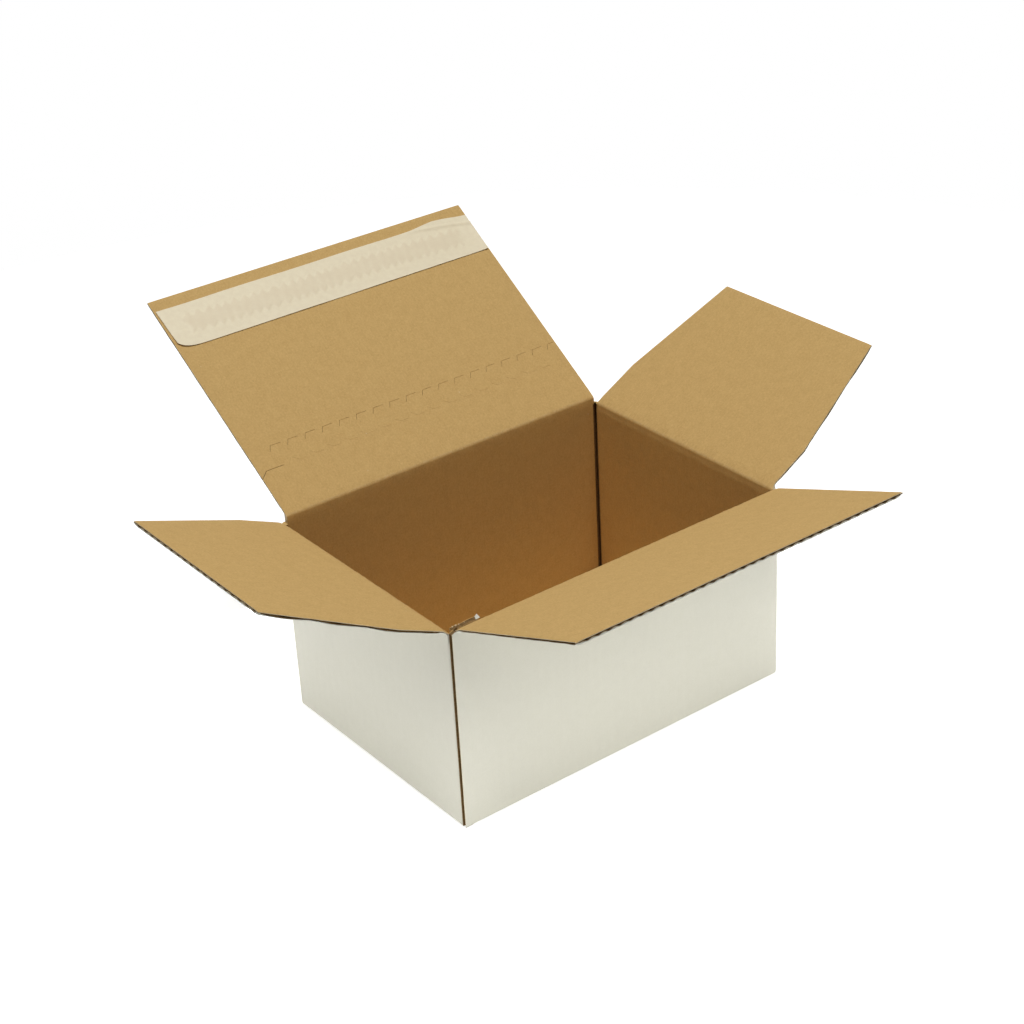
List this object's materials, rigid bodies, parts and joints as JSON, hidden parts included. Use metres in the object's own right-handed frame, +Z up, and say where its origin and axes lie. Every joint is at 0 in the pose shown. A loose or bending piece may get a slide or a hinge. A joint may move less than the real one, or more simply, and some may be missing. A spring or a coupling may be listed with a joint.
{
  "type": "corrugated mailer box",
  "caption": "Shallow rectangular corrugated mailer box, white outside and kraft inside, with a hinged full-cover lid, front flap and end flaps standing open.",
  "frame": {"origin": "middle of the face the box rests on", "axes": "+X right along the long side, +Y towards the wall that carries the lid, +Z up"},
  "size_m": [0.4023, 0.374, 0.2044],
  "materials": {
    "carton_board": "matt white facing outside, brown kraft inside",
    "flap_board": "matt brown kraft inside, white facing outside",
    "hot_melt": "soft tacky hot-melt adhesive",
    "release_paper": "smooth cream release paper"
  },
  "bodies": {
    "carton": {"carton_body": "carton_board"},
    "lid": {"lid_flap": "flap_board", "adhesive_strip": "hot_melt", "release_liner": "release_paper"},
    "front": {"front_flap": "flap_board"},
    "left_end": {"left_end_flap": "flap_board"},
    "right_end": {"right_end_flap": "flap_board"}
  },
  "joints": [
    {"name": "lid_fold", "type": "hinge", "parent": "carton", "child": "lid", "pos_m": [0, 0.0753, 0.11945], "axis": [1, 0, 0], "range_deg": [-68.7, 146.3]},
    {"name": "front_fold", "type": "hinge", "parent": "carton", "child": "front", "pos_m": [0, -0.07615, 0.117], "axis": [-1, 0, 0], "range_deg": [-60.5, 159.5]},
    {"name": "left_end_fold", "type": "hinge", "parent": "carton", "child": "left_end", "pos_m": [-0.109, 0, 0.115], "axis": [0, 1, 0], "range_deg": [-84.1, 155.9]},
    {"name": "right_end_fold", "type": "hinge", "parent": "carton", "child": "right_end", "pos_m": [0.109, 0, 0.115], "axis": [0, -1, 0], "range_deg": [-89.3, 150.7]}
  ]
}
